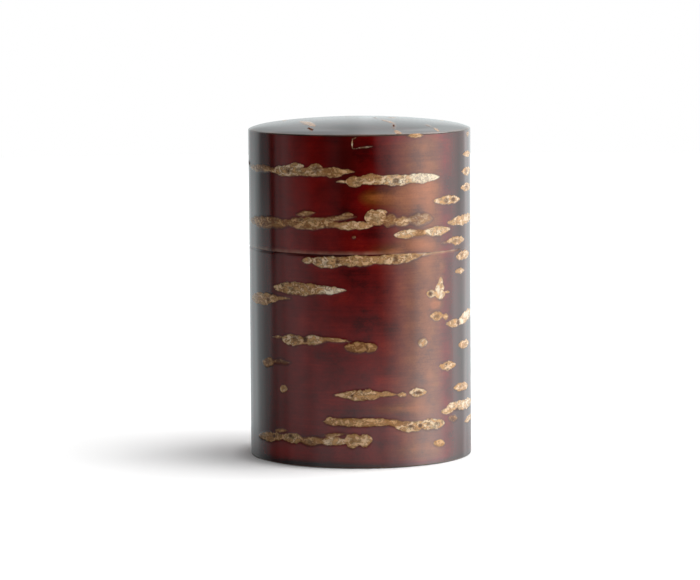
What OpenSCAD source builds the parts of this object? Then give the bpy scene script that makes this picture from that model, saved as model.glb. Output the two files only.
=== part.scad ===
// Cherry bark tea canister: a veneer tube skinned in polished bark, a collar
// that the lid slides over, and an inner lid with a turned knob.
// Millimetres. +Z is up, the origin is the centre of the face it stands on,
// and -Y is the front. The bark sheets are joined at the back, on +Y.

/* [Canister] */
// Outside diameter over the bark
canister_d = 80; // [60:1:110]
// Height of the body, from the table to the edge of the lid
body_h = 76; // [50:1:140]
// Height of the straight wall of the lid
lid_h = 41.5; // [34:0.5:80]

/* [Bark] */
// Thickness of the outer bark
bark_t = 0.6; // [0.4:0.1:1]
// Thickness of the bark on the collar and on the inside
lining_t = 0.4; // [0.3:0.1:0.6]
// Radius of the rubbed edges at the mouth of the body and of the lid
lip_r = 0.35; // [0.1:0.05:0.4]
// Radius of the edge that the canister stands on
foot_r = 0.5; // [0.1:0.05:0.6]
// Width of the hairline where the ends of a bark sheet meet
join_w = 0.3; // [0.1:0.05:0.6]
// Depth of that hairline
join_depth = 0.2; // [0.05:0.05:0.3]

/* [Veneer tubes] */
// Wall of the laminated veneer tube under the outer bark
shell_t = 1.6; // [1.3:0.1:3]
// Wall of the laminated veneer tube that forms the collar
inner_tube_t = 1.4; // [1:0.1:3]
// Radial clearance between the collar and the lid that slides over it
lid_gap = 0.15; // [0.1:0.05:0.3]

/* [Boards] */
// Thickness of the board that closes the bottom
base_board_t = 4; // [2.5:0.5:8]
// Thickness of the board in the lid, at its edge
lid_board_t = 4; // [2.5:0.5:8]
// Rise of the domed top, above its rounded edge
dome_h = 3.5; // [1:0.1:8]
// Radius of the rounded edge round the top
rim_r = 1.2; // [0.8:0.1:2]

/* [Inner lid] */
// Thickness of the inner lid's board
inner_board_t = 3; // [2:0.5:5]
// How far the inner lid's edge stays inside the outside of the collar
flange_inset = 0.3; // [0.2:0.1:1]
// Depth of the hoop that centres the inner lid in the collar
hoop_h = 6; // [4:0.5:12]
// Wall of that hoop
hoop_t = 2; // [1:0.5:4]
// Radial clearance between the hoop and the inside of the collar
hoop_gap = 0.15; // [0.1:0.05:0.3]

/* [Knob] */
// Diameter of the knob's head
knob_d = 15; // [12:0.5:24]
// Height of the knob above the bark of the inner lid
knob_h = 9; // [7:0.5:14]
// Diameter of the knob's waist
knob_waist_d = 8; // [6.5:0.1:10]
// Radius of the cove at the knob's foot
knob_foot_cove = 1.4; // [0.6:0.1:2]
// Radius of the cove under the knob's head
knob_head_cove = 2; // [0.6:0.1:2.4]
// Radius of the rounded edge of the knob's head
knob_edge_r = 1.1; // [0.5:0.1:1.3]
// Rise of the crown of the knob, above that edge
knob_crown = 1.6; // [0.5:0.1:2]
// Least straight length left beside each cove of the knob
knob_land = 0.3; // [0.1:0.1:1]
// Diameter of the tenon that is glued into the inner lid
tenon_d = 5; // [3:0.5:6]
// Free height between the knob and the ceiling of the closed lid
knob_headroom = 2.5; // [1.5:0.5:8]

/* [Hidden] */
$fn = 180;

// Segments in a rubbed edge, in a turned curve of the knob and in a dome
edge_steps = 6;
turned_steps = 12;
dome_steps = 24;

// A rubbed edge takes no more than this share of the sheet that it is on
edge_share = 0.9;

// Radii, from the outside in
outer_r = canister_d / 2;
core_r = outer_r - bark_t;
collar_r = core_r - shell_t;
tube_r = collar_r - lining_t;
lined_r = tube_r - inner_tube_t;
inside_r = lined_r - lining_t;

// Radii of the lid
lid_bore_r = collar_r + lid_gap;
lid_core_in_r = lid_bore_r + lining_t;

// Heights of the body
board_z = bark_t;
seat_z = board_z + base_board_t;
floor_z = seat_z + lining_t;

// Heights of the lid: its wall ends at shoulder_z, where the rounded edge begins
shoulder_z = body_h + lid_h;
ceiling_z = shoulder_z - lid_board_t;
board_rise = rim_r + dome_h - bark_t;

// The collar is as tall as leaves room for the inner lid and its knob
inner_lid_h = inner_board_t + bark_t;
collar_z = ceiling_z - lining_t - knob_headroom - knob_h - inner_lid_h;

// Inner lid
flange_r = collar_r - flange_inset;
inner_board_r = flange_r - lining_t;
hoop_r = inside_r - hoop_gap;
hoop_in_r = hoop_r - hoop_t;
inner_board_z = collar_z + inner_board_t;
inner_top_z = collar_z + inner_lid_h;

// Knob: its foot and head meet the waist in coves
knob_r = knob_d / 2;
waist_r = knob_waist_d / 2;
knob_z = inner_top_z + knob_h;
crown_z = knob_z - knob_crown;
head_z = crown_z - 2 * knob_edge_r;
head_room_r = knob_r - knob_edge_r - waist_r - knob_land;
head_room_h = head_z - inner_top_z - knob_foot_cove - knob_land;
head_cove_r = min(knob_head_cove, head_room_r, head_room_h);

bark_colour = "#5c1a14";
lining_colour = "#6e3220";
veneer_colour = "#cfae7c";
board_colour = "#b98d5c";
knob_colour = "#4a2015";

// Points of an arc about [x, y], from angle a to angle b
function arc(x, y, r, a, b, steps) =
    [for (i = [0 : steps]) let (t = a + (b - a) * i / steps) [x + r * cos(t), y + r * sin(t)]];

// Radius of a rubbed edge on a sheet of that thickness
function rubbed(r, sheet_t) = min(r, edge_share * sheet_t);

// Points of a dome of that rise over a chord radius, from its edge to the axis
function dome(chord_r, edge_z, rise) =
    let (ball_r = (chord_r * chord_r + rise * rise) / (2 * rise), low = acos(chord_r / ball_r))
    arc(0, edge_z + rise - ball_r, ball_r, low, 90, dome_steps);

// A tube on the Z axis
module tube(r_in, r_out, z0, z1) {
    rotate_extrude()
        translate([r_in, z0])
            square([r_out - r_in, z1 - z0]);
}

// A disc on the Z axis
module disc(r, z0, z1) {
    translate([0, 0, z0])
        cylinder(r = r, h = z1 - z0);
}

// A sheet of bark bent round the Z axis, with its hairline join at the back.
// top_r and low_r are the rubbed radii of its outer edges, or 0 for a square edge.
module bark_sleeve(r_out, sheet_t, z0, z1, top_r = 0, low_r = 0, joined = true) {
    top = rubbed(top_r, sheet_t);
    low = rubbed(low_r, sheet_t);
    low_edge = low > 0 ? arc(r_out - low, z0 + low, low, -90, 0, edge_steps) : [[r_out, z0]];
    top_edge = top > 0 ? arc(r_out - top, z1 - top, top, 0, 90, edge_steps) : [[r_out, z1]];
    cut = rubbed(join_depth, sheet_t);
    difference() {
        rotate_extrude()
            polygon(concat([[r_out - sheet_t, z0]], low_edge, top_edge, [[r_out - sheet_t, z1]]));
        if (joined)
            translate([-join_w / 2, r_out - cut, z0 - join_w])
                cube([join_w, 2 * cut, z1 - z0 + 2 * join_w]);
    }
}

// Bark under the bottom, with the rubbed edge that the canister stands on
module base_bark() {
    edge_r = rubbed(foot_r, bark_t);
    color(bark_colour)
        rotate_extrude()
            polygon(concat(
                [[0, 0]],
                arc(outer_r - edge_r, edge_r, edge_r, -90, 0, edge_steps),
                [[outer_r, bark_t], [0, bark_t]]
            ));
}

// Board that closes the bottom of the veneer tube
module base_board() {
    color(board_colour)
        disc(collar_r, board_z, seat_z);
}

// Laminated veneer tube of the body
module body_core() {
    color(veneer_colour)
        tube(collar_r, core_r, board_z, body_h);
}

// Outer bark of the body
module body_bark() {
    color(bark_colour)
        bark_sleeve(outer_r, bark_t, board_z, body_h, top_r = lip_r);
}

// Veneer tube that stands on the base board and rises above the body as the collar
module inner_tube() {
    color(veneer_colour)
        tube(lined_r, tube_r, seat_z, collar_z);
}

// Bark round the inner tube, which the lid slides on
module collar_bark() {
    color(lining_colour)
        bark_sleeve(collar_r, lining_t, seat_z, collar_z, top_r = lip_r, joined = false);
}

// Bark that lines the inside of the inner tube
module tube_lining() {
    color(lining_colour)
        tube(inside_r, lined_r, seat_z, collar_z);
}

// Bark on the inside of the bottom
module floor_lining() {
    color(lining_colour)
        disc(inside_r, seat_z, floor_z);
}

// Laminated veneer tube of the lid
module lid_core() {
    color(veneer_colour)
        tube(lid_core_in_r, core_r, body_h, shoulder_z);
}

// Outer bark of the lid's wall
module lid_bark() {
    color(bark_colour)
        bark_sleeve(outer_r, bark_t, body_h, shoulder_z, low_r = lip_r);
}

// Bark inside the lid's wall, rounded at the mouth to lead it onto the collar
module lid_lining() {
    edge_r = rubbed(lip_r, lining_t);
    top_z = ceiling_z - lining_t;
    color(lining_colour)
        rotate_extrude()
            polygon(concat(
                [[lid_core_in_r, body_h], [lid_core_in_r, top_z], [lid_bore_r, top_z]],
                arc(lid_bore_r + edge_r, body_h + edge_r, edge_r, 180, 270, edge_steps)
            ));
}

// Domed board that closes the top of the lid
module lid_board() {
    color(board_colour)
        rotate_extrude()
            polygon(concat(
                [[0, ceiling_z], [lid_core_in_r, ceiling_z]],
                dome(lid_core_in_r, shoulder_z, board_rise)
            ));
}

// Bark over the domed board, with the rounded edge that meets the lid's wall
module lid_top_bark() {
    under = dome(lid_core_in_r, shoulder_z, board_rise);
    over = dome(outer_r - rim_r, shoulder_z + rim_r, dome_h);
    color(bark_colour)
        rotate_extrude()
            polygon(concat(
                [for (i = [dome_steps : -1 : 0]) under[i]],
                arc(outer_r - rim_r, shoulder_z, rim_r, 0, 90, edge_steps),
                [for (i = [1 : dome_steps]) over[i]]
            ));
}

// Bark on the ceiling of the lid
module lid_ceiling() {
    color(lining_colour)
        disc(lid_core_in_r, ceiling_z - lining_t, ceiling_z);
}

// Board of the inner lid, which rests on the collar, with the hole for the knob's tenon
module inner_lid_board() {
    color(board_colour)
        tube(tenon_d / 2, inner_board_r, collar_z, inner_board_z);
}

// Bark on the inner lid, under the knob
module inner_lid_top_bark() {
    edge_r = rubbed(lip_r, bark_t);
    color(bark_colour)
        rotate_extrude()
            polygon(concat(
                [[tenon_d / 2, inner_board_z], [flange_r, inner_board_z]],
                arc(flange_r - edge_r, inner_top_z - edge_r, edge_r, 0, 90, edge_steps),
                [[tenon_d / 2, inner_top_z]]
            ));
}

// Strip of bark round the edge of the inner lid
module inner_lid_edge_band() {
    color(lining_colour)
        tube(inner_board_r, flange_r, collar_z, inner_board_z);
}

// Veneer hoop under the inner lid, which centres it in the collar
module inner_lid_hoop() {
    edge_r = rubbed(lip_r, hoop_t);
    low_z = collar_z - hoop_h;
    color(veneer_colour)
        rotate_extrude()
            polygon(concat(
                [[hoop_in_r, collar_z], [hoop_in_r, low_z]],
                arc(hoop_r - edge_r, low_z + edge_r, edge_r, -90, 0, edge_steps),
                [[hoop_r, collar_z]]
            ));
}

// Bark under the inner lid, inside the hoop
module inner_lid_underside() {
    color(lining_colour)
        disc(hoop_in_r, collar_z - lining_t, collar_z);
}

// Turned knob with the tenon that goes through the bark into the board
module inner_lid_knob() {
    cove_z = inner_top_z + knob_foot_cove;
    crown = dome(knob_r - knob_edge_r, crown_z, knob_crown);
    color(knob_colour)
        rotate_extrude()
            polygon(concat(
                [[0, collar_z], [tenon_d / 2, collar_z], [tenon_d / 2, inner_top_z]],
                arc(waist_r + knob_foot_cove, cove_z, knob_foot_cove, 270, 180, turned_steps),
                arc(waist_r + head_cove_r, head_z - head_cove_r, head_cove_r, 180, 90, turned_steps),
                arc(knob_r - knob_edge_r, head_z + knob_edge_r, knob_edge_r, -90, 90, turned_steps),
                [for (i = [1 : dome_steps]) crown[i]]
            ));
}

base_bark();
base_board();
body_core();
body_bark();
inner_tube();
collar_bark();
tube_lining();
floor_lining();
lid_core();
lid_bark();
lid_lining();
lid_board();
lid_top_bark();
lid_ceiling();
inner_lid_board();
inner_lid_top_bark();
inner_lid_edge_band();
inner_lid_hoop();
inner_lid_underside();
inner_lid_knob();
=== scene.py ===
"""A tea canister of veneer tubes skinned in polished cherry bark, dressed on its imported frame.

Lengths in the lists and shapes below are millimetres, and the mesh makers turn them to metres. Angles run
round the Z axis from the front, which is -Y, towards +X. A bark sheet is laid out by its length along the
sheet, counted from the front line, and by its height.
"""
import math
from functools import partial

import bpy
import numpy as np
from mathutils import Euler, Matrix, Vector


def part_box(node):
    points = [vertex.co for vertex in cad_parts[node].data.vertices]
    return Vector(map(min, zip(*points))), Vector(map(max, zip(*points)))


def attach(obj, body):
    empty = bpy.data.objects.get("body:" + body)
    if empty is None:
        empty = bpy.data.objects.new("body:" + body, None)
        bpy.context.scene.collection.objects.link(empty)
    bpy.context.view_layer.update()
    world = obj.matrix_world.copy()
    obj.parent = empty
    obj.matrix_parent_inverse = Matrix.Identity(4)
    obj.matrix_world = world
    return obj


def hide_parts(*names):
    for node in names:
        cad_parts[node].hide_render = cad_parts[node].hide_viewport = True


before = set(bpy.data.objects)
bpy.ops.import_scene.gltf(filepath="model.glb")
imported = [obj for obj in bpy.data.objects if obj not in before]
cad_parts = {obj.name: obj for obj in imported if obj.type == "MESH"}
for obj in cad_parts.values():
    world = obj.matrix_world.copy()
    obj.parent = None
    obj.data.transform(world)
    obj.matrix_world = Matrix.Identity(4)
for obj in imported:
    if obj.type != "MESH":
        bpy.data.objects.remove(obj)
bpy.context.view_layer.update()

MM = 0.001


def reach(node):
    """Outer radius, lowest and highest point of a turned CAD node, in millimetres."""
    low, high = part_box(node)
    return high.x / MM, low.z / MM, high.z / MM


# Sizes, from the frame
OUTER_R, BODY_LOW, BODY_TOP = reach("body_bark")
BARK_T = OUTER_R - reach("body_core")[0]
TUBE_R = reach("inner_tube")[0]
LINING_T = reach("collar_bark")[0] - TUBE_R
INSIDE_R = reach("floor_lining")[0]
LID_LOW, SHOULDER_Z = reach("lid_bark")[1:]
LID_CORE_IN_R = reach("lid_ceiling")[0]
LID_BORE_R = LID_CORE_IN_R - LINING_T
APEX_Z = reach("lid_top_bark")[2]
INNER_TOP = reach("inner_lid_top_bark")[2]
INNER_BOARD_R = reach("inner_lid_board")[0]
HOOP_R, HOOP_LOW, HOOP_TOP = reach("inner_lid_hoop")
HOOP_IN_R = reach("inner_lid_underside")[0]
KNOB_R, KNOB_LOW, KNOB_TOP = reach("inner_lid_knob")
GIRTH = 2 * math.pi * OUTER_R

# Rubbed edges, the cork's relief, the join at the back, and the turned knob
LIP_R = 0.5
LID_LIP_R = 0.08
EASE_H = 0.7
EASE_IN = 0.25
FOOT_R = 0.45
RIM_R = 0.6
RIM_TURN = 63
DOME_SINK = 0.4
LINING_LIP_R = 0.25
CORK_PROUD = 0.05
JOIN_W = 0.3
JOIN_DEPTH = 0.15
TENON_R = 2.5
WAIST_R = 4.0
FOOT_COVE_R = 1.4
HEAD_COVE_R = 2.0
HEAD_EDGE_R = 1.1
KNOB_CROWN = 1.6

# Columns and rows of the meshes
SLEEVE_COLUMNS = 540
SLEEVE_ROWS = 158
DOME_COLUMNS = 600
BASE_COLUMNS = 360
LINING_COLUMNS = 300
KNOB_COLUMNS = 144

# Lenticels, the pale corky pores that lie across cherry bark. Each has its middle along the sheet, its
# height, its length and width, how far its right end rises, its bluntness (0 pointed, 1 round), how much
# of it the polish left showing, how many brown eyes its cork has, and how pale it is (-1 brown, 1 cream).
LID_FRONT = [
    (-44, 105, 22, 3, 0.6, 0.6, 0.72, 0.5, -0.5),
    (-20, 104.9, 36, 2.8, 0.6, 0.6, 1, 0.5, -0.1),
    (-28, 105, 14, 4, 0.4, 0.6, 1, 0.6, 0.15),
    (-23.8, 106.8, 7, 2.2, 0.4, 0.6, 1, 0.3, 0.1),
    (-16, 105.6, 6.5, 4.6, 0, 0.9, 1, 0.2, -0.2),
    (-10, 104.9, 10, 3.7, 0.2, 0.6, 1, 0.2, -0.6),
    (-4.8, 105.2, 6, 1.4, 0, 0.1, 1, 0, -0.3),
    (-6, 101.7, 5.5, 1.2, 0, 0.1, 0.9, 0, 0),
    (12.5, 102.1, 35, 3, 0.4, 0.5, 1, 0.5, 0.1),
    (-1.7, 101.7, 6.5, 3.8, -0.2, 0.8, 1, 0.5, -0.3),
    (4.3, 102.5, 10, 3.7, 0, 0.7, 1, 0.5, -0.3),
    (12.8, 102, 13, 3.9, -0.3, 0.6, 1, 0.4, 0.6),
    (22.5, 102.3, 18, 3.4, 0, 0.45, 1, 0.1, 1.1),
    (36.2, 93.8, 16.5, 3.2, -0.3, 0.5, 1, 0.2, 0.2),
    (-40, 86, 32, 4.6, 1, 0.7, 0.74, 0.7, -0.6),
    (-18.5, 86.8, 22, 4.6, 0.4, 0.7, 0.8, 0.6, -0.4),
    (-20, 90.2, 8, 2.4, 1, 0.4, 0.78, 0.3, -0.3),
    (-8, 88.8, 14, 2, 1, 0.3, 0.72, 0.2, -0.3),
    (-4.5, 90.1, 4.5, 1.6, 0, 0.5, 0.75, 0.2, -0.3),
    (-2.8, 86.2, 15, 3, 0, 0.6, 1, 0, -0.1),
    (5.4, 89, 8, 5.6, 0, 0.8, 1, 0.4, -0.2),
    (7.8, 91.1, 4, 1.6, -0.8, 0.5, 0.95, 0, 0.1),
    (10.6, 87.8, 6, 4.8, 0, 0.8, 0.68, 0.3, -0.5),
    (15.2, 87.3, 6.5, 3.8, 0, 0.7, 0.75, 0.2, -0.15),
    (22.2, 87.8, 12, 4.8, 0, 0.6, 0.6, 0.2, -0.1),
    (16.8, 82.9, 10, 3.2, 0.6, 0.5, 1, 0.3, 0.2),
    (22.2, 83, 6, 2.4, 0, 0.7, 0.9, 0, -0.7),
    (30, 83.2, 14.5, 3.5, 0.3, 0.4, 1, 0.4, 0.4),
    (-2.2, 82.2, 1.6, 1.2, 0, 1, 0.72, 0, -0.5),
    (48, 86, 26, 3.7, 0.6, 0.6, 1, 0.4, 0.1),
    (41.5, 79, 13, 3, -0.3, 0.6, 1, 0.3, -0.1),
    (34.5, 78.8, 5, 0.9, 0, 0.1, 0.7, 0, 0),
    (52.5, 109.1, 12, 2.2, -0.4, 0.5, 0.9, 0.2, 0),
    (52, 103, 13, 3.1, -0.4, 0.6, 1, 0.2, 0),
    (51.5, 97.3, 14, 3.1, -0.4, 0.5, 1, 0.2, 0),
    (53, 116.2, 7, 2.2, 0, 0.5, 0.7, 0.3, -0.2),
    # A pale mark on the rim that is partly a painted highlight, a chip at the left edge, and a scratch that
    # turns two corners
    (20.5, 117.4, 7, 1.5, 0, 0.4, 0.9, 0, -0.1),
    (-57.5, 105.9, 9, 2.4, -0.8, 0.6, 1, 0, -1),
    (1, 113.6, 7.2, 0.4, 0.8, 0.9, 0.8, 0, 0.3),
    (-2.6, 115, 0.5, 3.6, 0, 0.9, 0.78, 0, 0.2),
    (-2, 116.8, 1.8, 0.4, 0.8, 0.9, 0.78, 0, 0.2),
]
BODY_FRONT = [
    (-19, 73.7, 5.5, 2.3, 0.2, 0.5, 1, 0, 0.1),
    (0, 73.9, 41, 2.9, 1, 0.6, 1, 0.6, -0.2),
    (-11.7, 73.3, 12.5, 4.2, 0, 0.7, 1, 0.7, 0.15),
    (-1, 73.8, 14, 3.9, 0.2, 0.7, 1, 0.7, -0.3),
    (13.5, 74.5, 18, 4, 1, 0.6, 1, 0.6, -0.1),
    (24, 75.3, 7.5, 1.1, 0.1, 0.1, 0.8, 0, 0.2),
    (-23, 63.4, 25, 4.5, 0.2, 0.7, 1, 0.7, -0.1),
    (-12, 63.4, 14, 3, 0, 0.3, 1, 0.1, 0.6),
    (-43, 58.5, 23, 4.4, 1.6, 0.6, 0.95, 0.6, -0.2),
    (-30.5, 59.6, 9, 1.2, 0.4, 0.1, 0.9, 0, -0.2),
    (-33, 45.6, 6.5, 1, 0.3, 0.1, 0.9, 0, -0.2),
    (-21, 45, 18, 2.4, 0.2, 0.5, 0.85, 0.3, -0.3),
    (-26, 45.1, 10.5, 4, 0.3, 0.7, 1, 0.5, 0.05),
    (-17.3, 45.6, 8, 3.3, 0.1, 0.7, 1, 0.3, 0.15),
    (-10, 45.9, 14, 1.6, -1, 0.2, 0.9, 0, -0.2),
    (-1.2, 43.3, 9.5, 3.9, 0, 0.6, 0.95, 0.2, -0.85),
    (3.4, 43.2, 5.2, 3.2, 0, 0.7, 0.95, 0.3, -0.7),
    (-39, 36, 8, 3.5, 0.6, 0.8, 0.8, 0.5, -0.55),
    (-31.9, 36.8, 11, 2.2, 0.2, 0.4, 0.62, 0.2, -0.7),
    (-30.2, 27.3, 3.8, 2.7, 0.2, 1, 1, 0, -0.1),
    (-3.8, 26.2, 13, 2.6, 0, 0, 1, 0.2, -0.1),
    (0.6, 26.3, 14, 4, 0, 0.6, 1, 0.7, -0.1),
    (8.6, 26.5, 9, 1.9, -0.5, 0.1, 1, 0.2, -0.1),
    (14.8, 26, 3.4, 1.8, 0, 0.6, 1, 0, 0),
    (21.2, 26.4, 7.5, 3, -0.3, 0.7, 1, 0, 0.2),
    (-0.4, 16.6, 27, 3, -0.2, 0.9, 1, 0.2, -0.3),
    (-10.6, 16.9, 4.6, 2.9, -0.4, 1, 1, 0.2, -0.2),
    (12.5, 15.9, 9, 2.9, -1.6, 0.5, 0.8, 0.4, -0.4),
    (18.4, 14.5, 12.5, 3.8, -0.2, 0.7, 1, 0.7, 0.1),
    (27, 14.6, 13, 3.8, -0.7, 0.9, 1, 0.6, 0.3),
    (-38, 9.3, 18, 3.4, 1.6, 0.5, 0.9, 0.6, -0.3),
    (-32, 12.2, 7, 1.6, 0.6, 0.3, 0.8, 0.2, -0.4),
    (-26.4, 9.9, 9.5, 3.7, 0.5, 0.7, 1, 0.6, -0.1),
    (-18, 9.5, 11.5, 3.5, 0.4, 0.5, 0.75, 0.5, -0.3),
    (-10, 9.7, 11.5, 2.9, 0.3, 0.6, 0.95, 0.1, 0.15),
    (-9.7, 12.1, 9.5, 1.4, 0.9, 0.3, 0.8, 0.1, -0.2),
    (-3, 10.2, 5.6, 5.2, 0, 1, 1, 0.2, -0.2),
    (1, 10.3, 6, 4.4, 0, 0.7, 0.95, 0.3, -0.1),
    (47.5, 73.2, 14, 3.4, 0.2, 0.7, 1, 0.3, 0),
    (44, 67.9, 8.5, 2.2, -0.3, 0.4, 0.95, 0.2, 0),
    (27, 61.2, 4.4, 2.7, -0.2, 0.7, 1, 0, 0.2),
    (31.3, 60.6, 5.2, 3.4, -0.3, 0.8, 1, 0, 0.3),
    (31.2, 62.8, 4.6, 4.2, 0, 0.7, 1, 0, 0.3),
    (31.6, 65, 2.6, 3.8, 0, 0.5, 1, 0, 0.2),
    (35, 61.1, 3.5, 1, -0.2, 0.2, 0.9, 0, 0),
    (29.7, 53, 7, 3.1, -0.3, 0.6, 1, 0, -0.15),
    (34.3, 52.3, 3.2, 2.4, 0, 0.7, 0.85, 0, -0.2),
    (39.7, 49.5, 11, 3.1, -0.5, 0.5, 1, 0.2, 0.1),
    (50, 51, 16, 4.2, 2.4, 0.8, 1, 0, 0.4),
    (23.2, 44, 4.4, 3.6, 0, 0.6, 0.72, 0, 0.1),
    (48, 41.1, 12, 3.1, -0.3, 0.7, 0.95, 0.4, -0.1),
    (35.5, 34.7, 10, 3.1, -0.3, 0.6, 1, 0.2, 0),
    (45.5, 26, 13.5, 3.1, -0.6, 0.7, 1, 0.1, 0),
    (35, 18.4, 7.5, 2.3, -0.4, 0.5, 1, 0.3, 0),
    (41.5, 19.8, 13, 3.1, -0.6, 0.8, 1, 0.3, 0.4),
    (50, 19.2, 18, 3.9, 0.2, 0.7, 1, 0.3, 0.4),
    (38.6, 15.4, 6.5, 2.5, -0.6, 0.8, 0.7, 0.3, -0.4),
    (54, 13.4, 13, 2.5, 0.6, 0.6, 1, 0.2, 0.1),
    (30.6, 7.3, 6.2, 2.5, -0.4, 0.7, 1, 0.1, -0.3),
]
# On the dome the sheet's length runs front to back, and its "height" is across, from left to right
DOME_FRONT = [
    (-15.5, -18.5, 21, 4, -5.5, 0.6, 0.8, 0.4, -0.95),
    (-29.5, -17.3, 8, 2, -1.2, 0.6, 0.95, 0, -1),
    (-3.4, 5.7, 4, 1.6, -0.8, 0.6, 0.95, 0, -1),
    (-15, 10, 11, 2.4, -4.6, 0.5, 1, 0, -1),
    (-26, 12.1, 14, 1.7, 0, 0.6, 0.95, 0, -1),
    (-36, 13.5, 6, 2.6, -1.5, 0.7, 0.85, 0.2, -0.9),
    (0.7, 11.8, 4, 3.8, 0, 0.8, 0.8, 0, -0.8),
    (-20.5, 24.5, 6, 2.2, -1.5, 0.6, 0.7, 0.2, -0.9),
    (-25.5, 27, 5, 2.4, -1.5, 0.6, 0.7, 0.2, -0.9),
    (18, -4, 18, 2.4, 1.5, 0.6, 0.8, 0.8, -0.5),
    (22, 17, 13, 2, -1, 0.5, 0.8, 0.6, -0.5),
    (8, -27, 16, 2, 1, 0.6, 0.8, 0.7, -0.5),
    (29, -16, 10, 1.8, 0.8, 0.5, 0.8, 0.5, -0.5),
    (9, 30, 14, 1.8, 1, 0.5, 0.8, 0.6, -0.5),
]
# Spots in the cork: brown eyes and pits, and with a strength below 0 whiter crumbs. Each has its middle
# along the sheet, its height, its half length, its half height and its strength
DOME_SPOTS = [
    (-27.5, -17.9, 3, 1.3, 1),
    (-31, -16.7, 2.4, 1.2, 1),
    (-3.4, 5.7, 2, 0.8, 1),
    (-26, 12.1, 6, 0.8, 1),
]
LID_SPOTS = [
    (-27.3, 105, 1.2, 0.9, 0.7),
    (-15.7, 105.9, 1.9, 1.7, 0.6),
    (13, 101.7, 1.5, 1.1, 0.7),
    (23.4, 102.6, 0.8, 0.6, -0.6),
    (26.3, 102.3, 0.7, 0.5, -0.7),
    (28.6, 102.4, 0.6, 0.4, -0.8),
    (30.6, 102.4, 0.6, 0.4, -0.6),
    (34.8, 93.7, 1.6, 1, 0.7),
    (39, 93.8, 1.5, 0.9, 0.8),
    (5.7, 88.8, 2.2, 1.8, 0.35),
    (50.5, 103.1, 2, 0.9, 0.6),
    (50.5, 97.4, 2, 0.9, 0.6),
    (40.5, 79, 3.2, 0.9, 0.5),
    (-57.5, 105.9, 4.5, 1.3, 1),
]
BODY_SPOTS = [
    (-8.1, 73.5, 0.9, 0.9, 0.8),
    (12.5, 74.3, 1.1, 1.4, 0.7),
    (19.9, 75.1, 0.8, 0.7, 0.5),
    (15.9, 73.3, 0.8, 0.6, 0.5),
    (-25.8, 63, 1.3, 0.7, 0.6),
    (-38.4, 58.5, 1.3, 0.8, 0.7),
    (-36.5, 60.6, 0.9, 0.6, 0.9),
    (-25, 45.6, 1.7, 1.3, 0.6),
    (-20.4, 45.7, 1, 1.4, 0.85),
    (-31.2, 45.1, 0.8, 0.7, 0.85),
    (2.2, 43.3, 0.5, 1.2, 0.6),
    (-39, 36, 2, 1.1, 0.4),
    (-30.2, 27.3, 1, 0.8, 0.4),
    (-3.3, 26.2, 0.8, 0.6, 0.8),
    (0.2, 27.3, 0.6, 0.6, 0.7),
    (21, 26.3, 2.2, 0.6, 0.9),
    (18.1, 14.5, 1.2, 0.7, 0.8),
    (22, 14.4, 1, 0.8, 0.85),
    (30.2, 14.4, 1, 1.1, 0.5),
    (-35.6, 9.8, 1, 0.7, 0.9),
    (-27.1, 10.7, 1.1, 0.7, 0.9),
    (-3, 10.2, 1.7, 1.7, 0.35),
    (45.2, 73.4, 1.8, 0.9, 0.5),
    (26.6, 61.2, 1.1, 1, 0.85),
    (30.4, 62.2, 0.7, 1.8, -0.8),
    (31.7, 60.6, 0.7, 1.2, -0.7),
    (31.8, 63.6, 0.6, 1, 0.5),
    (29.5, 52.9, 2, 0.7, 0.6),
    (42.3, 49.4, 1.3, 1.5, 0.8),
    (50, 51.6, 4.5, 1.1, -0.7),
    (34.5, 35.3, 0.8, 0.5, 0.9),
    (35.3, 33.4, 0.9, 0.5, 0.8),
    (44.3, 26.1, 3, 0.7, 0.4),
    (41.1, 18, 1.5, 1.1, 0.9),
    (37.7, 15.3, 1.9, 0.8, 0.7),
]
# Places where the red bark is scraped thinner and glows orange, and with a strength below 0 where it is
# thicker and darker, laid out as the spots are. The bands over the whole height, and the dark strips along
# the seam and the foot, are painted light instead: painted sheen and painted shade, as marked.
LID_GLOWS_AND_PAINTED_LIGHT = [
    # Painted sheen: a paler orange band over the whole height, where the polish faces the soft box on the
    # right
    (25, 98, 10.5, 45, 0.63),
    # Painted shade: darker bands over the whole height at the right and the left edge
    (45, 98, 10.5, 45, -0.95),
    (-45, 98, 13, 45, -0.85),
    (-5.5, 109, 6, 16, -0.6),
    (24, 117.5, 15, 2, -0.3),
    (6, 96.3, 6, 2.2, 0.75),
    (17, 95.5, 11, 4, 0.5),
    (25, 99.5, 7, 2.5, 0.3),
    (23, 78.8, 10, 2, 0.4),
    (11.5, 77, 5, 1.8, 0.75),
]
BODY_GLOWS_AND_PAINTED_LIGHT = [
    # Painted sheen: a paler orange band over the whole height, where the polish faces the soft box on the
    # right
    (25, 40, 10.5, 70, 0.61),
    # Painted shade: darker bands over the whole height at the right and the left edge
    (45, 40, 10.5, 70, -0.95),
    (-45, 40, 13, 70, -0.85),
    (14, 21, 9, 1.7, 0.5),
    (29.5, 57.2, 3, 1.5, 0.9),
    (32.5, 70.6, 2.5, 2, 0.5),
    (31.6, 66.6, 1.8, 1.5, 0.5),
    (22, 6, 9, 2, 0.3),
    (24, 73, 9, 2, 0.3),
    # Painted shade: a dark strip along the foot, where the canister meets the table
    (-20, 1.2, 20, 1.3, -0.9),
    (20, 0.9, 30, 1, -0.8),
    # Painted shade under the lid's edge, at the top of the body
    (-12, 75.6, 22, 0.9, -0.7),
]
# Places where the bark is a brighter red, laid out as the spots are
LID_FLUSHES = [
    (-25, 98, 11, 24, 0.36),
]
BODY_FLUSHES = [
    (-28, 42, 14, 45, 0.18),
    (-36, 4.5, 13, 3.5, 0.7),
]


def smooth(low, high, value):
    """Rises from 0 at low to 1 at high with level ends."""
    share = np.clip((value - low) / (high - low), 0, 1)
    return share * share * (3 - 2 * share)


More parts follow.
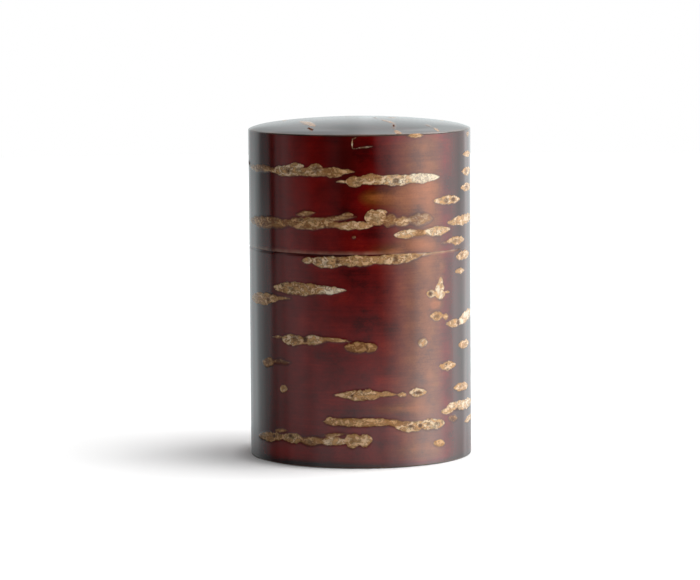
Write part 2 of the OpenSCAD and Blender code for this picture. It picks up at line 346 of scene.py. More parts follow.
def between(value, rise, fall):
    """Rises from 0 to 1 over the first pair of values, and falls back over the second."""
    return smooth(*rise, value) * (1 - smooth(*fall, value))


def ripple(place, wave, seed):
    """Sum of three sines of that wavelength and shorter, phases drawn from the seed, about -1 to 1."""
    phases = np.random.default_rng(seed).uniform(0, 2 * math.pi, 3)
    shares = ((0.5, 1.0), (0.3, 0.57), (0.2, 0.31))
    return sum(
        height * np.sin(2 * math.pi * place / (wave * part) + phase)
        for (height, part), phase in zip(shares, phases)
    )


def scattered(seed, start, end, low, high, row_gap, gap):
    """Lenticels for the part of a sheet that no list gives: rows about row_gap apart, and along each row
    spindles of 6 to 28 mm with about gap between them, the longer ones with swellings, all drawn from the
    seed."""
    draw = np.random.default_rng(seed)
    marks = []
    height = low + row_gap * draw.uniform(0.3, 0.7)
    while height < high - 2:
        along = start + draw.uniform(0, gap)
        while along < end:
            length = draw.uniform(6, 28)
            if along + length > end:
                break
            level = height + draw.uniform(-0.22, 0.22) * row_gap
            width = draw.uniform(2.0, 3.2) + length * 0.04
            rise, blunt = draw.uniform(-0.6, 0.6), draw.uniform(0.2, 0.9)
            show, eye, light = draw.uniform(0.7, 1.1), draw.uniform(0.1, 0.8), draw.uniform(-0.4, 0.4)
            marks.append((along + length / 2, level, length, width, rise, blunt, show, eye, light))
            for _ in range(int(length // 8)):
                place = along + length * draw.uniform(0.2, 0.8)
                aside = level + draw.uniform(-0.6, 0.6)
                swell = length * draw.uniform(0.25, 0.45), width * draw.uniform(0.9, 1.3)
                marks.append((place, aside, *swell, 0.0, 0.8, show, eye, light + draw.uniform(-0.3, 0.3)))
            along += length + gap * draw.uniform(0.15, 1.6)
        height += row_gap * draw.uniform(0.8, 1.2)
    return marks


# The depth far outside every lenticel, and how softly lenticels run together, in millimetres
FAR = -4.0
BLEND = 0.2


def cork_fields(along, height, marks, spots=(), girth=None):
    """How deep each point lies in a lenticel, in millimetres, below 0 outside.

    A lenticel is a spindle: at a share u of its half length its half width is the width there of a
    rounded or pointed bow, 1 - |u| to a power, made lumpy by ripples of its own. The depth is that half
    width less the distance from its middle line, and past its ends less the distance along as well. Where
    lenticels meet, their depths run together in a soft union, the logarithm of the sum of their
    exponentials, and their other values are shared out by the same weights.
    """
    weight = np.full(along.shape, math.exp(FAR / BLEND))
    shown = np.zeros(along.shape)
    eyes = np.zeros(along.shape)
    pale = np.zeros(along.shape)
    for number, (middle, level, length, width, rise, blunt, show, eye, light) in enumerate(marks):
        offset = along - middle
        if girth:
            offset = (offset + girth / 2) % girth - girth / 2
        near = (np.abs(offset) < length / 2 + 5) & (np.abs(height - level) < width / 2 + 5)
        offset = offset[near]
        share = offset / (length / 2)
        bow = np.clip(1 - np.abs(share) ** (1.3 + 1.2 * blunt), 0, None) ** (1.05 - 0.45 * blunt)
        bend = rise * share / 2 + 0.04 * width * ripple(offset, 11, 7 * number + 3)
        aside = height[near] - level - bend
        lumps = np.where(aside > 0, ripple(offset, 5.5, 2 * number), ripple(offset, 6.5, 2 * number + 1))
        inside = width / 2 * bow * (1 + 0.13 * lumps) - np.abs(aside)
        inside = inside - np.clip(np.abs(share) - 1, 0, None) * length / 2
        part = np.exp(np.clip(inside, FAR, 3) / BLEND)
        weight[near] += part
        shown[near] += part * show
        eyes[near] += part * eye
        pale[near] += part * light
    return {
        "cork_depth": BLEND * np.log(weight),
        "cork_shown": shown / weight,
        "cork_eyes": eyes / weight,
        "cork_pale": pale / weight,
        "cork_spot": spot_field(along, height, spots, 4),
    }


def spot_field(along, height, spots, edge):
    """Sum of oval spots: each falls off as the exponential of minus the distance from its middle, in its
    own half sizes, to the power edge. 2 is a soft bell, and more has a flatter middle and sharper edge."""
    total = np.zeros(along.shape)
    for middle, level, half_length, half_height, strength in spots:
        out = np.hypot((along - middle) / half_length, (height - level) / half_height)
        total += strength * np.exp(-out ** edge)
    return np.clip(total, -1, 1)


def columns(count, radius=None):
    """Angles round the axis, evenly spread. With a radius, they are closer at the front, where the angle
    falls behind by half its sine, and the columns at the back crowd into the join."""
    angle = np.linspace(-math.pi, math.pi, count, endpoint=False)
    if radius is None:
        return angle
    angle = angle - 0.5 * np.sin(angle)
    step = 3 * math.pi / count
    join = np.array([-3, -1.6, -0.8, -0.3, 0.3, 0.8, 1.6, 3]) * JOIN_W / 2 / radius
    angle = angle[np.abs(np.abs(angle) - math.pi) > max(step * 0.6, join[-1] * 1.3)]
    angle = np.concatenate([angle, (math.pi + join + math.pi) % (2 * math.pi) - math.pi])
    return np.sort(angle)


def arc(radius_to, height, size, start, end, steps=6):
    """Points of a rounded edge: a circle of that size about a radius and height, between two angles."""
    turn = np.radians(np.linspace(start, end, steps + 1))
    return np.stack([radius_to + size * np.cos(turn), height + size * np.sin(turn)], axis=-1)


def eased(radius, height):
    """Points of the body's eased top edge: it draws in with a power of the height a little above 1, so that
    most of it leans at one angle."""
    share = np.linspace(0, 1, 9)
    return np.stack([radius - EASE_IN * share ** 1.25, height - EASE_H * (1 - share)], axis=-1)


def run(r0, z0, r1, z1, count):
    """Evenly spaced points of a straight stretch of a profile, both ends included."""
    share = np.linspace(0, 1, count)
    return np.stack([r0 + (r1 - r0) * share, z0 + (z1 - z0) * share], axis=-1)


def dome(edge_r, edge_z, rise, count):
    """Points of a shallow dome from its edge to its top: the cap of a ball that has that rise."""
    ball = (edge_r ** 2 + rise ** 2) / (2 * rise)
    radius = np.linspace(edge_r, 0, count)
    return np.stack([radius, edge_z + rise - ball + np.sqrt(ball ** 2 - radius ** 2)], axis=-1)


def lid_dome(edge_r, edge_z, top_z, count):
    """Points of the lid's dome from its edge to its top: it falls with the square of the radius, and close
    to the edge with a high power of it too, where the bark is drawn down over the board's round edge."""
    share = np.linspace(1, 0, count)
    fall = (top_z - edge_z) * (0.78 * share ** 2 + 0.22 * share ** 16)
    return np.stack([edge_r * share, top_z - fall], axis=-1)


def profile(*stretches):
    """Joins the stretches of a profile, with points that repeat left out."""
    points = np.concatenate(stretches)
    step = np.abs(np.diff(points, axis=0)).max(axis=1)
    return points[np.concatenate([[True], step > 1e-6])]


def spread(line, angle):
    """A profile's radii and its heights, each repeated for every column."""
    return line[:, :1] + 0 * angle, line[:, 1:] + 0 * angle


# Edges that turn by more than this keep a crease
SHARP = math.radians(40)


def turned_mesh(name, radius, height, angle, fields=None):
    """Carries a profile round the Z axis.

    The point in row i and column j stands at that entry's radius along the column's angle, and at that
    entry's height. The last column joins the first. A profile that starts and ends on the axis closes in
    one point there, and any other joins its last row to its first. Rows that run up on the outside give
    faces that point outwards.
    """
    rows, count = radius.shape
    on_axis = radius[0, 0] < 1e-6
    points = np.stack([radius * np.sin(angle), -radius * np.cos(angle), height], axis=-1) * MM
    keep = np.ones((rows, count), dtype=bool)
    if on_axis:
        keep[0, 1:] = False
        keep[-1, 1:] = False
    number = (np.cumsum(keep) - 1).reshape(rows, count)
    if on_axis:
        rings = number[1:-1]
        low, high = rings[:-1], rings[1:]
    else:
        low, high = number, np.roll(number, -1, axis=0)
    quads = np.stack([low, np.roll(low, -1, 1), np.roll(high, -1, 1), high], axis=-1).reshape(-1, 4)
    corners = [quads.ravel()]
    sizes = [np.full(len(quads), 4)]
    if on_axis:
        bottom = np.full(count, number[0, 0])
        top = np.full(count, number[-1, 0])
        first, last = number[1], number[-2]
        corners.append(np.stack([bottom, np.roll(first, -1), first], axis=-1).ravel())
        corners.append(np.stack([last, np.roll(last, -1), top], axis=-1).ravel())
        sizes.append(np.full(2 * count, 3))
    corners = np.concatenate(corners)
    sizes = np.concatenate(sizes)

    mesh = bpy.data.meshes.new(name)
    mesh.vertices.add(int(keep.sum()))
    mesh.vertices.foreach_set("co", points[keep].ravel())
    mesh.loops.add(len(corners))
    mesh.loops.foreach_set("vertex_index", corners)
    mesh.polygons.add(len(sizes))
    mesh.polygons.foreach_set("loop_start", np.concatenate([[0], np.cumsum(sizes)[:-1]]))
    mesh.polygons.foreach_set("use_smooth", np.ones(len(sizes), dtype=bool))
    mesh.update(calc_edges=True)
    mesh.set_sharp_from_angle(angle=SHARP)
    for field, values in (fields or {}).items():
        layer = mesh.attributes.new(field, "FLOAT", "POINT")
        layer.data.foreach_set("value", values[keep].astype(np.float32))
    piece = bpy.data.objects.new(name, mesh)
    bpy.context.collection.objects.link(piece)
    return piece


def settle(piece, node, body, material):
    """Puts a finished piece in the frame: its material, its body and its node."""
    piece.data.materials.append(material)
    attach(piece, body)
    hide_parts(node)


def to_linear(colour):
    """An sRGB hex colour as linear RGBA."""
    parts = [int(colour[start:start + 2], 16) / 255 for start in (1, 3, 5)]
    return tuple(v / 12.92 if v <= 0.04045 else ((v + 0.055) / 1.055) ** 2.4 for v in parts) + (1.0,)


def per_mm(x, y, z):
    """Mapping scale for a pattern that repeats about every x, y and z mm on Object coordinates."""
    return 1 / (x * MM), 1 / (y * MM), 1 / (z * MM)


def add(tree, kind, feeds=None, stops=(), **settings):
    """Adds a shader node: settings are its properties, feeds gives each input a value, a node or a socket,
    and stops are a colour ramp's (place, hex colour)."""
    node = tree.nodes.new("ShaderNode" + kind)
    for name, value in settings.items():
        setattr(node, name, value)
    for key, value in (feeds or {}).items():
        if isinstance(value, bpy.types.Node):
            value = value.outputs[0]
        if isinstance(value, bpy.types.NodeSocket):
            tree.links.new(value, node.inputs[key])
        else:
            node.inputs[key].default_value = value
    for number, (spot, colour) in enumerate(stops):
        while len(node.color_ramp.elements) <= number:
            node.color_ramp.elements.new(1)
        node.color_ramp.elements[number].position = spot
        node.color_ramp.elements[number].color = to_linear(colour)
    return node


def blank_material(name):
    """An empty node material, what adds a node to it, and the Object coordinates that its patterns read."""
    material = bpy.data.materials.new(name)
    material.use_nodes = True
    material.node_tree.nodes.clear()
    put = partial(add, material.node_tree)
    return material, put, put("TexCoord").outputs["Object"]


SOFT = {"interpolation_type": "SMOOTHSTEP"}


def cherry_bark(name, tones, fibre, polish, cork_polish):
    """Wild cherry bark, scraped thin, ironed onto veneer and burnished: deep red under a clear gloss, with
    faint fibres along the sheet, darker and lighter clouds, orange where it is thinnest, and rough pale
    lenticels of mottled cork with brown eyes. It also carries painted light: bands of painted sheen and
    painted shade, painted shade round each lenticel, and a painted highlight on some rubbed edges.

    tones are the bark's four colours from dark to light, fibre is the size of one fibre on the X, Y and Z
    axes, and polish and cork_polish are the roughness of the bark and of its cork.
    """
    material, put, place = blank_material(name)
    depth, shown, eyes, pale, spot, glow, flush, wear_and_highlight = (
        put("Attribute", attribute_name=field).outputs["Fac"]
        for field in (
            "cork_depth", "cork_shown", "cork_eyes", "cork_pale", "cork_spot", "glow", "flush", "wear_and_highlight",
        )
    )

    # Patterns on the sheet: clouds of a centimetre, fibres, specks of half a millimetre, the cork's lumps
    # of 2 mm, and the veil of bark that the polish left on it
    clouds, fibres, specks, lumps, veil = (
        put("TexNoise", {
            "Vector": put("Mapping", {"Vector": place, "Scale": per_mm(*size)}),
            "Scale": 1, "Detail": detail, "Roughness": roughness,
        })
        for size, detail, roughness in (
            ((9, 9, 7), 3, 0.5),
            (fibre, 4, 0.6),
            ((0.6, 0.6, 0.5), 2, 0.5),
            ((2.2, 2.2, 1.5), 3, 0.6),
            ((3.0, 3.0, 1.6), 4, 0.65),
        )
    )

    # Ragged outline of the cork, from its lumps and from crumbs of half a millimetre
    lump = put("Math", {0: lumps, 1: -0.5}, operation="ADD")
    crumb = put("Math", {0: specks, 1: -0.5}, operation="ADD")
    edge = depth
    for pattern, share in ((lump, 0.9), (crumb, 0.45)):
        edge = put("Math", {0: pattern, 1: share, 2: edge}, operation="MULTIPLY_ADD")
    faint = put("MapRange", {
        "Value": shown, "From Min": 0.9, "From Max": 0.5, "To Min": 0.32, "To Max": 1.5,
    })
    corky = put("MapRange", {"Value": edge, "From Min": -0.2, "From Max": faint}, **SOFT)
    veil = put("Math", {0: veil, 1: shown}, operation="ADD")
    veil = put("MapRange", {"Value": veil, "From Min": 0.80, "From Max": 1.32})
    corky = put("Math", {0: corky, 1: veil}, operation="MULTIPLY")

    # Bark: flushed a brighter red in places, orange where it is thin and nearly black where it is thick,
    # with painted sheen and painted shade in bands, painted shade towards each lenticel, and paler along
    # its rubbed edges, partly a painted highlight
    blotch = 0.0
    for pattern, share in ((clouds, 0.60), (fibres, 0.22), (specks, 0.18)):
        blotch = put("Math", {0: pattern, 1: share, 2: blotch}, operation="MULTIPLY_ADD")
    bark = put("ValToRGB", {"Fac": blotch}, stops=zip((0.36, 0.46, 0.55, 0.66), tones))
    warm_stops = ((0.36, "#5c2a0e"), (0.5, "#74360f"), (0.64, "#844414"))
    warm_bark = put("ValToRGB", {"Fac": blotch}, stops=warm_stops)
    flow = put("MapRange", {
        "Value": blotch, "From Min": 0.35, "From Max": 0.65, "To Min": 0.75, "To Max": 1.25,
    })
    flow = put("Math", {0: flow, 1: glow}, operation="MULTIPLY")
    # Above 0 the glow is thin orange bark and a painted sheen band; below 0 it is thick dark bark and
    # painted shade
    warm_and_sheen = put("MapRange", {"Value": flow, "From Max": 0.5})
    hot_and_sheen = put("MapRange", {"Value": flow, "From Min": 0.5, "From Max": 1.1})
    thick_bark_and_shade = put("MapRange", {"Value": flow, "From Max": -1.0})
    # Painted shade: a dark halo round each lenticel, where its edge dips
    halo_shade = put("MapRange", {"Value": edge, "From Min": -0.8, "From Max": -0.1, "To Max": 0.4}, **SOFT)
    # Paler along rubbed edges: real wear, and on the body's eased edge and the lid's lip also a painted
    # highlight
    rubbed = put("Math", {0: clouds, 1: wear_and_highlight}, operation="MULTIPLY")
    for share, tone in (
        (flush, to_linear("#b01810")),
        (warm_and_sheen, warm_bark),
        (hot_and_sheen, to_linear("#b0622e")),
        (thick_bark_and_shade, to_linear("#1a0905")),
        (halo_shade, to_linear("#1c0306")),
        (rubbed, to_linear("#c29a7c")),
    ):
        bark = put("MixRGB", {"Fac": share, "Color1": bark, "Color2": tone})

    # Cork: mottles of 2 mm and finer grains, pushed about by the lumps, and a little darker along its rim
    push = put("VectorMath", {0: lumps.outputs["Color"], 1: (0.5, 0.5, 0.5)}, operation="SUBTRACT")
    push = put("VectorMath", {0: push, "Scale": 2.0 * MM}, operation="SCALE")
    pushed = put("VectorMath", {0: place, 1: push}, operation="ADD")
    mottle, grain = (
        put("TexNoise", {
            "Vector": put("Mapping", {"Vector": pushed, "Scale": per_mm(*size)}),
            "Scale": 1, "Detail": detail, "Roughness": roughness, "Distortion": distortion,
        })
        for size, detail, roughness, distortion in (
            ((2.2, 2.2, 1.4), 3, 0.6, 0.8),
            ((0.8, 0.8, 0.6), 2, 0.7, 0.0),
        )
    )
    rim = put("MapRange", {
        "Value": edge, "From Min": 0.25, "From Max": 0.9, "To Min": 0.37, "To Max": 0.41,
    })
    marbled = put("MapRange", {"Value": mottle, "From Min": 0.40, "From Max": 0.60}, **SOFT)
    light = rim
    for pattern, share in ((pale, 0.26), (marbled, 0.17), (grain, 0.22)):
        light = put("Math", {0: pattern, 1: share, 2: light}, operation="MULTIPLY_ADD")
    cork_stops = ((0.22, "#6a4024"), (0.40, "#a47445"), (0.58, "#dcad79"), (0.84, "#fff1d6"))
    cork = put("ValToRGB", {"Fac": light}, stops=cork_stops)

    # In the cork: veins between the mottles, brown eyes with a pale ring in some cells of 3 mm or so, the
    # spots that have a place of their own, chalky crumbs and fine pits
    vein = put("Math", {0: mottle, 1: 0.5}, operation="SUBTRACT")
    vein = put("Math", {0: vein}, operation="ABSOLUTE")
    veined = put("MapRange", {"Value": eyes, "To Min": 0.5, "To Max": 1.0})
    vein = put("MapRange", {"Value": vein, "From Min": 0.06, "From Max": 0.012, "To Max": veined}, **SOFT)
    cell_place = put("Mapping", {"Vector": pushed, "Scale": per_mm(3.4, 3.4, 2.2)})
    cells = put("TexVoronoi", {"Vector": cell_place, "Scale": 1})
    pick = put("SeparateColor", {"Color": cells.outputs["Color"]})
    pick = put("MapRange", {"Value": pick, "From Min": 0.25, "From Max": 0.7, "To Max": 1.1})
    pick = put("Math", {0: pick, 1: eyes}, operation="MULTIPLY")
    ring = put("MapRange", {"Value": cells, "From Min": 0.52, "From Max": 0.38, "To Max": 0.5})
    ring = put("Math", {0: ring, 1: pick}, operation="MULTIPLY")
    eye = put("MapRange", {"Value": cells, "From Min": 0.36, "From Max": 0.16}, **SOFT)
    eye = put("Math", {0: eye, 1: pick}, operation="MULTIPLY")
    stain = put("Math", {0: crumb, 1: 0.5, 2: spot}, operation="MULTIPLY_ADD")
    stain = put("MapRange", {"Value": stain, "From Min": 0.12, "From Max": 0.85})
    eye = put("Math", {0: eye, 1: stain}, operation="MAXIMUM")
    chalk = put("Math", {0: crumb, 1: -0.8, 2: spot}, operation="MULTIPLY_ADD")
    chalk = put("MapRange", {"Value": chalk, "From Min": -0.2, "From Max": -0.9})
    pit = put("MapRange", {"Value": grain, "From Min": 0.33, "From Max": 0.22, "To Max": 0.7}, **SOFT)
    for share, tone in (
        (vein, "#7a5030"), (ring, "#d6b988"), (eye, "#553526"), (chalk, "#f4e8d2"), (pit, "#4e3526"),
    ):
        cork = put("MixRGB", {"Fac": share, "Color1": cork, "Color2": to_linear(tone)})

    # Gloss on the bark, less on the cork and none in its open pits
    colour = put("MixRGB", {"Fac": corky, "Color1": bark, "Color2": cork})
    gloss = put("MapRange", {"Value": corky, "To Min": polish, "To Max": cork_polish})
    gloss = put("Math", {0: fibres, 1: 0.06, 2: gloss}, operation="MULTIPLY_ADD")
    relief = put("Math", {0: grain, 1: corky}, operation="MULTIPLY")
    relief = put("Math", {0: fibres, 1: 0.06, 2: relief}, operation="MULTIPLY_ADD")
    bump = put("Bump", {"Height": relief, "Strength": 0.2, "Distance": 0.15 * MM})
    shine = put("MapRange", {"Value": corky, "To Min": 0.5, "To Max": 0.2})
    open_pit = put("MapRange", {
        "Value": spot, "From Min": 0.88, "From Max": 0.98, "To Min": 1.0, "To Max": 0.0,
    })
    shine = put("Math", {0: shine, 1: open_pit}, operation="MULTIPLY")
    shader = put("BsdfPrincipled", {
        "Base Color": colour, "Roughness": gloss, "IOR": 1.5, "Specular IOR Level": shine, "Normal": bump,
    })
    put("OutputMaterial", {"Surface": shader})
    return material


def wood(name, tones, grain_size, growth_size, roughness, ring=None):
    """Planed or turned wood: darker and lighter growth bands with fine pores along the grain, matt from the
    tool. With ring, the glued layers of a rolled veneer show as fine circles that far apart."""
    material, put, place = blank_material(name)
    growth_place = put("Mapping", {"Vector": place, "Scale": per_mm(*growth_size)})
    growth = put("TexNoise", {"Vector": growth_place, "Scale": 1, "Detail": 3, "Distortion": 0.4})
    pore_place = put("Mapping", {"Vector": place, "Scale": per_mm(*grain_size)})
    pores = put("TexNoise", {"Vector": pore_place, "Scale": 1, "Detail": 4, "Roughness": 0.7})
    blend = put("Math", {0: growth, 1: 0.6}, operation="MULTIPLY")
    blend = put("Math", {0: pores, 1: 0.4, 2: blend}, operation="MULTIPLY_ADD")
    if ring:
        flat = put("VectorMath", {0: place, 1: (1, 1, 0)}, operation="MULTIPLY")
        out = put("VectorMath", {0: flat}, operation="LENGTH").outputs["Value"]
        layer = put("Math", {0: out, 1: 2 * math.pi / (ring * MM)}, operation="MULTIPLY")
        layer = put("Math", {0: layer}, operation="SINE")
        blend = put("Math", {0: layer, 1: 0.08, 2: blend}, operation="MULTIPLY_ADD")
    colour = put("ValToRGB", {"Fac": blend}, stops=zip((0.32, 0.5, 0.68), tones))
    bump = put("Bump", {"Height": pores, "Strength": 0.3, "Distance": 0.1 * MM})
    shader = put("BsdfPrincipled", {
        "Base Color": colour, "Roughness": roughness, "IOR": 1.5, "Normal": bump,
    })
    put("OutputMaterial", {"Surface": shader})
    return material


# The finishes. Tones run from dark to light
BARK_TONES = ("#460405", "#600505", "#700807", "#84140a")
DOME_TONES = ("#0c0203", "#1c0505", "#260807", "#34120c")
LINING_TONES = ("#3a120e", "#5e2016", "#74301e", "#8a4628")
burnished_bark = cherry_bark("burnished_cherry_bark", BARK_TONES, (16, 16, 0.7), 0.10, 0.24)
dome_bark = cherry_bark("burnished_cherry_bark_dome", DOME_TONES, (0.7, 16, 16), 0.12, 0.14)
lining_bark = cherry_bark("rubbed_cherry_bark", LINING_TONES, (16, 16, 0.6), 0.38, 0.6)
flat_lining_bark = cherry_bark("rubbed_cherry_bark_flat", LINING_TONES, (16, 0.6, 16), 0.38, 0.6)
veneer = wood(
    "rolled_cherry_veneer", ("#a8794a", "#c0935f", "#d3ab78"), (9, 9, 0.35), (20, 20, 3), 0.6, ring=0.5,
)
board = wood("planed_cedar_board", ("#96683c", "#b4844f", "#c99a66"), (14, 0.5, 14), (60, 3, 9), 0.62)
knob_wood = wood(
    "turned_cherry_heartwood", ("#2c100a", "#4d2013", "#66301c"), (0.4, 0.4, 8), (2.5, 2.5, 30), 0.32,
)

# The front of each sheet from its list, and the rest of it scattered
LID_MARKS = LID_FRONT + scattered(11, 64, GIRTH - 62, LID_LOW, SHOULDER_Z, 9.5, 9)
BODY_MARKS = BODY_FRONT + scattered(12, 64, GIRTH - 62, BODY_LOW, BODY_TOP, 9.5, 9)


def sheet_waves(angle, height):
    """Faint flutes of a sheet ironed onto a tube: sines of 17, 26 and 41 turns round it, which wander a
    little with the height."""
    return (
        0.024 * np.sin(17 * angle + 0.9 + 0.030 * height)
        + 0.015 * np.sin(26 * angle + 2.1 - 0.022 * height)
        + 0.008 * np.sin(41 * angle + 4.4 + 0.035 * height)
    )


def outer_sleeve(node, body, low_r, ease_h, marks, spots, glows, flushes):
    """A bark sheet round a veneer tube: its wall with rubbed outer edges, faint flutes, lenticels that
    stand a hair proud, and the hairline join at the back."""
    radius, low, high = reach(node)
    low_edge = arc(radius - low_r, low + low_r, low_r, -90, 0) if low_r else [(radius, low)]
    top_edge = eased(radius, high) if ease_h else [(radius, high)]
    wall = run(radius, low + low_r, radius, high - ease_h, SLEEVE_ROWS)
    back = run(radius - BARK_T, high, radius - BARK_T, low, 3)
    line = profile(low_edge, wall, top_edge, back)
    angle = columns(SLEEVE_COLUMNS, radius)
    shape, height = spread(line, angle)
    along = angle * radius + 0 * height
    fields = cork_fields(along, height, marks, spots, GIRTH)
    fields["glow"] = spot_field(along, height, glows, 2)
    fields["flush"] = spot_field(along, height, flushes, 2)

    # Painted highlight along the body's eased edge, to the right of the front, where it stands in for the
    # soft box's reflection; the lid's lip to the left of it is paler too, partly rubbed and partly painted
    # reflection
    right = smooth(8, 20, along)
    if ease_h:
        worn_and_highlight = 1.5 * smooth(high - ease_h - 0.1, high - ease_h + 0.1, height)
        worn_and_highlight = worn_and_highlight * right * (1 - 0.75 * smooth(34, 44, along))
    else:
        worn_and_highlight = 0.6 * (1 - smooth(0.3, 1.6, height - low)) * (1 - right)
    fields["wear_and_highlight"] = worn_and_highlight * (0.7 + 0.3 * ripple(along, 9, 5))
    outside = line[:, :1] > radius - BARK_T / 2
    proud = sheet_waves(angle, height) + CORK_PROUD * smooth(-0.1, 0.7, fields["cork_depth"])
    seam = np.exp(-(((np.abs(angle) - math.pi) * radius) / (JOIN_W / 2)) ** 2)
    shape = shape + outside * (proud - JOIN_DEPTH * seam)
    piece = turned_mesh(node + "_skin", shape, height, angle, fields)
    settle(piece, node, body, burnished_bark)


def base_skin():
    """Bark under the bottom: a flat disc whose rubbed edge is what the canister stands on. It takes the
    dark dome bark, so that its edge shows as a dark line along the foot, painted shade where the canister
    meets the table.
    """
    radius, low, high = reach("base_bark")
    line = profile(
        run(0, low, radius - FOOT_R, low, 24),
        arc(radius - FOOT_R, low + FOOT_R, FOOT_R, -90, 0),
        [(radius, high)],
        run(radius, high, 0, high, 6),
    )
    angle = columns(BASE_COLUMNS)
    shape, height = spread(line, angle)
    marks = scattered(21, -36, 36, -36, 36, 11, 12)
    fields = cork_fields(shape * np.cos(angle), shape * np.sin(angle), marks)
    fields["cork_depth"] = np.where(shape < radius - 3, fields["cork_depth"], FAR)
    fields["wear_and_highlight"] = 0.2 * smooth(radius - 2, radius - 0.3, shape)
    piece = turned_mesh("base_skin", shape, height, angle, fields)
    settle(piece, "base_bark", "body", dome_bark)


def dome_skin():
    """Bark over the domed lid: a shell between two shallow domes, with a rounded rim that runs on from the
    lid's wall."""
    radius, low, high = reach("lid_top_bark")
    rim_in = radius - RIM_R
    under = dome(LID_CORE_IN_R, low, high - low - BARK_T, 8)[::-1]
    rim = arc(rim_in, low, RIM_R, 0, RIM_TURN, 8)
    over = lid_dome(*rim[-1], high - DOME_SINK, 120)
    line = profile(under, [(radius, low)], rim, over)
    angle = columns(DOME_COLUMNS)
    shape, height = spread(line, angle)
    on_top = shape < rim[-1, 0] - 1e-6
    top = cork_fields(-shape * np.cos(angle), shape * np.sin(angle), DOME_FRONT, DOME_SPOTS)
    side = cork_fields(angle * radius + 0 * shape, height, LID_MARKS, LID_SPOTS, GIRTH)
    fields = {key: np.where(on_top, top[key], side[key]) for key in top}
    fields["wear_and_highlight"] = 0.2 * np.exp(-((shape - rim[-1, 0]) / 0.5) ** 2)
    outside = np.arange(len(line))[:, None] >= len(under)
    flutes = sheet_waves(angle, height) * smooth(rim_in - 1, radius, shape)
    shape = shape + outside * flutes
    height = height + outside * on_top * CORK_PROUD * smooth(-0.1, 0.7, fields["cork_depth"])
    piece = turned_mesh("dome_skin", shape, height, angle, fields)
    settle(piece, "lid_top_bark", "lid", dome_bark)


def lining_sleeve(name, node, body, inner_r, lip, rows, seed):
    """A thin bark sheet on the inside or the outside of a tube, with a rubbed lip at the end that shows."""
    radius, low, high = reach(node)
    outer = run(radius, low, radius, high, rows)
    inner = run(inner_r, high, inner_r, low, rows)
    if lip == "top_out":
        outer = profile(
            run(radius, low, radius, high - LINING_LIP_R, rows),
            arc(radius - LINING_LIP_R, high - LINING_LIP_R, LINING_LIP_R, 0, 90),
        )
    if lip == "low_in":
        inner = profile(
            run(inner_r, high, inner_r, low + LINING_LIP_R, rows),
            arc(inner_r + LINING_LIP_R, low + LINING_LIP_R, LINING_LIP_R, 180, 270),
        )
    line = profile(outer, inner)
    angle = columns(LINING_COLUMNS)
    shape, height = spread(line, angle)
    girth = 2 * math.pi * radius
    marks = scattered(seed, -girth / 2, girth / 2 - 14, low, high, 15, 18)
    fields = cork_fields(angle * radius + 0 * shape, height, marks, girth=girth)
    fields["wear_and_highlight"] = 0.7 * (1 - smooth(0.2, 1.2, np.minimum(high - height, height - low)))
    piece = turned_mesh(name, shape, height, angle, fields)
    settle(piece, node, body, lining_bark)


def lining_disc(name, node, body, seed, material=None, bore_r=0, edge_r=0):
    """A flat disc of bark, with a bore or a rubbed top edge where it has one."""
    radius, low, high = reach(node)
    edge = arc(radius - edge_r, high - edge_r, edge_r, 0, 90) if edge_r else [(radius, high)]
    line = profile(
        run(bore_r, low, radius, low, 60),
        edge,
        run(radius - edge_r, high, bore_r, high, 60),
    )
    angle = columns(LINING_COLUMNS)
    shape, height = spread(line, angle)
    marks = scattered(seed, -radius, radius - 8, -radius, radius, 12, 13)
    fields = cork_fields(shape * np.sin(angle), -shape * np.cos(angle), marks)
    fields["wear_and_highlight"] = 0.6 * smooth(radius - 1.2, radius - 0.2, shape)
    piece = turned_mesh(name, shape, height, angle, fields)
    settle(piece, node, body, material or flat_lining_bark)


def edge_band():
    """The strip of bark round the inner lid's edge."""
    radius, low, high = reach("inner_lid_edge_band")
    line = profile(
        run(radius, low, radius, high, 10),
        run(INNER_BOARD_R, high, INNER_BOARD_R, low, 2),
    )
    angle = columns(LINING_COLUMNS)
    shape, height = spread(line, angle)
    girth = 2 * math.pi * radius
    marks = scattered(41, -girth / 2, girth / 2 - 14, low, high, 3, 25)
    fields = cork_fields(angle * radius + 0 * shape, height, marks, girth=girth)
    fields["wear_and_highlight"] = 0.5 * (1 - smooth(0.1, 0.8, np.minimum(high - height, height - low)))
    piece = turned_mesh("edge_band", shape, height, angle, fields)
    settle(piece, "inner_lid_edge_band", "inner_lid", lining_bark)


def hoop():
    """The veneer hoop under the inner lid, with a rubbed lower edge that leads it into the collar."""
    line = profile(
        run(HOOP_IN_R + LIP_R, HOOP_LOW, HOOP_R - LIP_R, HOOP_LOW, 6),
        arc(HOOP_R - LIP_R, HOOP_LOW + LIP_R, LIP_R, -90, 0),
        run(HOOP_R, HOOP_LOW + LIP_R, HOOP_R, HOOP_TOP, 12),
        run(HOOP_IN_R, HOOP_TOP, HOOP_IN_R, HOOP_LOW + LIP_R, 12),
        arc(HOOP_IN_R + LIP_R, HOOP_LOW + LIP_R, LIP_R, 180, 270),
    )[:-1]
    angle = columns(LINING_COLUMNS)
    piece = turned_mesh("hoop", *spread(line, angle), angle)
    settle(piece, "inner_lid_hoop", "inner_lid", veneer)


